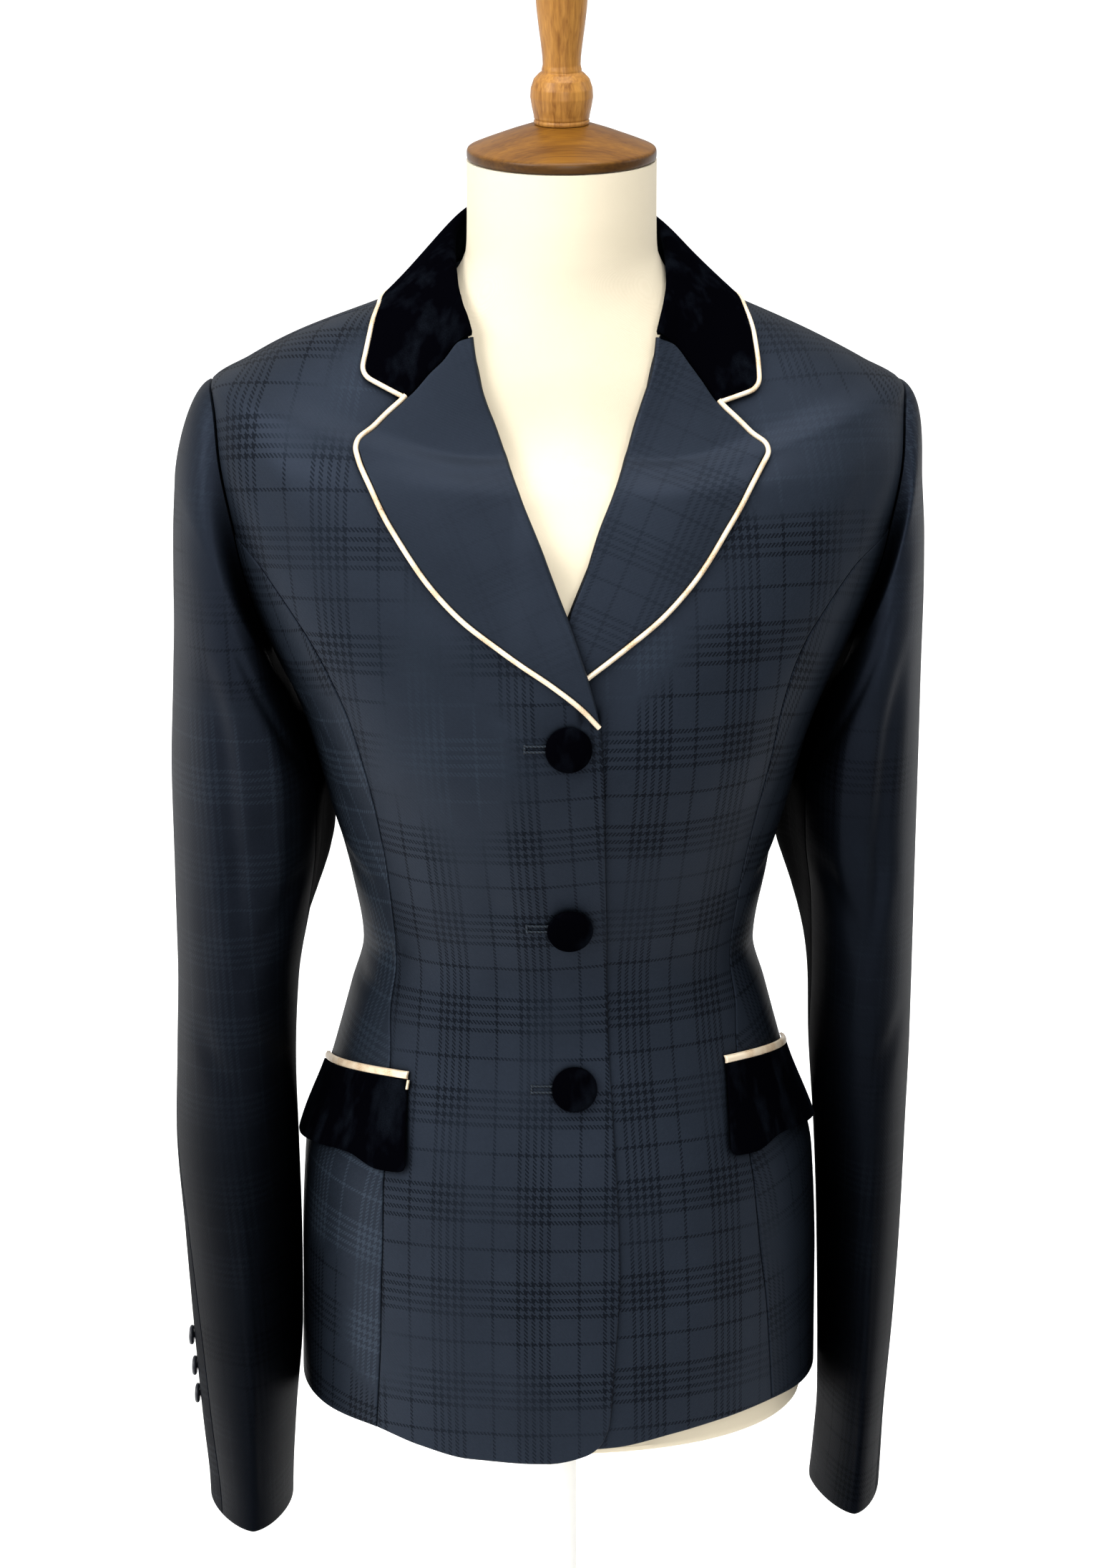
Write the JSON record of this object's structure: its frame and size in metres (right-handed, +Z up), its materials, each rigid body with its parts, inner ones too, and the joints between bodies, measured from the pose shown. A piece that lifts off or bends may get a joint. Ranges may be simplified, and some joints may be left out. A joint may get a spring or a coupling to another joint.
{
  "type": "equestrian show coat on a dress form",
  "caption": "Fitted three-button riding show coat with velvet collar and pocket flaps and metallic piping, buttoned on a limbless dress form with a pole and base.",
  "frame": {"origin": "centre of the round base's underside, on the axis of the form's neck, cap and pole", "axes": "+Z up, -Y towards the coat's front, +X towards the wearer's left"},
  "size_m": [0.434, 0.2984, 1.0748],
  "materials": {
    "navy_worsted": "matte worsted with a tonal woven check",
    "black_velvet": "short velvet pile",
    "champagne_leather": "metallic, finely crackled",
    "dark_button": "satin",
    "cream_jersey": "matte stretch jersey",
    "honey_wood": "varnished",
    "white_steel": "satin powder coat"
  },
  "bodies": {
    "root": {"front_right": "navy_worsted", "side_right": "navy_worsted", "back_right": "navy_worsted", "lapel_right": "navy_worsted", "sleeve_top_right": "navy_worsted", "sleeve_under_right": "navy_worsted", "pocket_flap_right": "black_velvet", "pocket_welt_right": "champagne_leather", "lapel_piping_right": "champagne_leather", "cuff_button_right_1": "dark_button", "cuff_button_right_2": "dark_button", "cuff_button_right_3": "dark_button", "front_left": "navy_worsted", "side_left": "navy_worsted", "back_left": "navy_worsted", "lapel_left": "navy_worsted", "sleeve_top_left": "navy_worsted", "sleeve_under_left": "navy_worsted", "pocket_flap_left": "black_velvet", "pocket_welt_left": "champagne_leather", "lapel_piping_left": "champagne_leather", "cuff_button_left_1": "dark_button", "cuff_button_left_2": "dark_button", "cuff_button_left_3": "dark_button", "collar": "black_velvet", "collar_piping": "champagne_leather", "front_button_1": "black_velvet", "front_button_2": "black_velvet", "front_button_3": "black_velvet", "form_body": "cream_jersey", "neck_cap": "honey_wood", "finial": "honey_wood", "pole": "white_steel", "base": "white_steel"}
  },
  "joints": []
}
